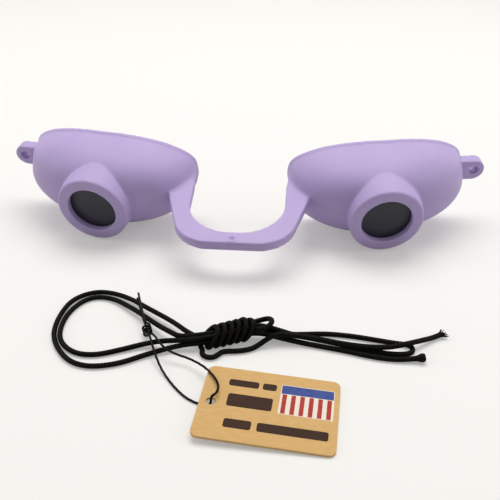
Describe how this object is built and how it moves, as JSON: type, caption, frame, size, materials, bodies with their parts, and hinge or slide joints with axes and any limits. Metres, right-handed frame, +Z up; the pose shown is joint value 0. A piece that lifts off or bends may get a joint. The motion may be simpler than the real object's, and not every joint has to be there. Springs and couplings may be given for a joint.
{
  "type": "tanning goggles",
  "caption": "Soft tanning goggles: two domed eyecups with dark lenses in short snouts, a flexible U-shaped nose bridge, a hanked elastic head cord and a blank swing tag.",
  "frame": {"origin": "bottom centre of the goggles' bounding box, on the table, without the cord, string and tag", "axes": "+X along the width, -Y the way the lenses face, +Z up from the table"},
  "size_m": [0.124, 0.09, 0.0237],
  "materials": {
    "soft_shell": "matt lilac TPE",
    "lens": "dark tinted",
    "elastic_cord": "braided black elastic",
    "tag_string": "waxed black thread",
    "tag_card": "kraft card"
  },
  "bodies": {
    "bridge": {"nose_bridge": "soft_shell"},
    "right_cup": {"right_eyecup": "soft_shell", "right_lens": "lens"},
    "left_cup": {"left_eyecup": "soft_shell", "left_lens": "lens"},
    "cord_pack": {"head_cord": "elastic_cord", "tag_string": "tag_string", "swing_tag": "tag_card"}
  },
  "joints": [
    {"name": "right_cup_wrap", "type": "hinge", "parent": "bridge", "child": "right_cup", "pos_m": [0.0065, -0.01654, 0.00866], "axis": [0, -0.2007, 0.9796], "range_deg": [-6, 12], "stiffness_Nm_per_rad": 0.008, "deforming": ["nose_bridge"]},
    {"name": "left_cup_wrap", "type": "hinge", "parent": "bridge", "child": "left_cup", "pos_m": [-0.0065, -0.01654, 0.00866], "axis": [0, 0.2007, -0.9796], "range_deg": [-6, 12], "stiffness_Nm_per_rad": 0.008, "deforming": ["nose_bridge"]},
    {"name": "pack_lift", "type": "slide", "parent": "bridge", "child": "cord_pack", "axis": [0, 0, 1], "range_m": [0, 0.12]}
  ]
}
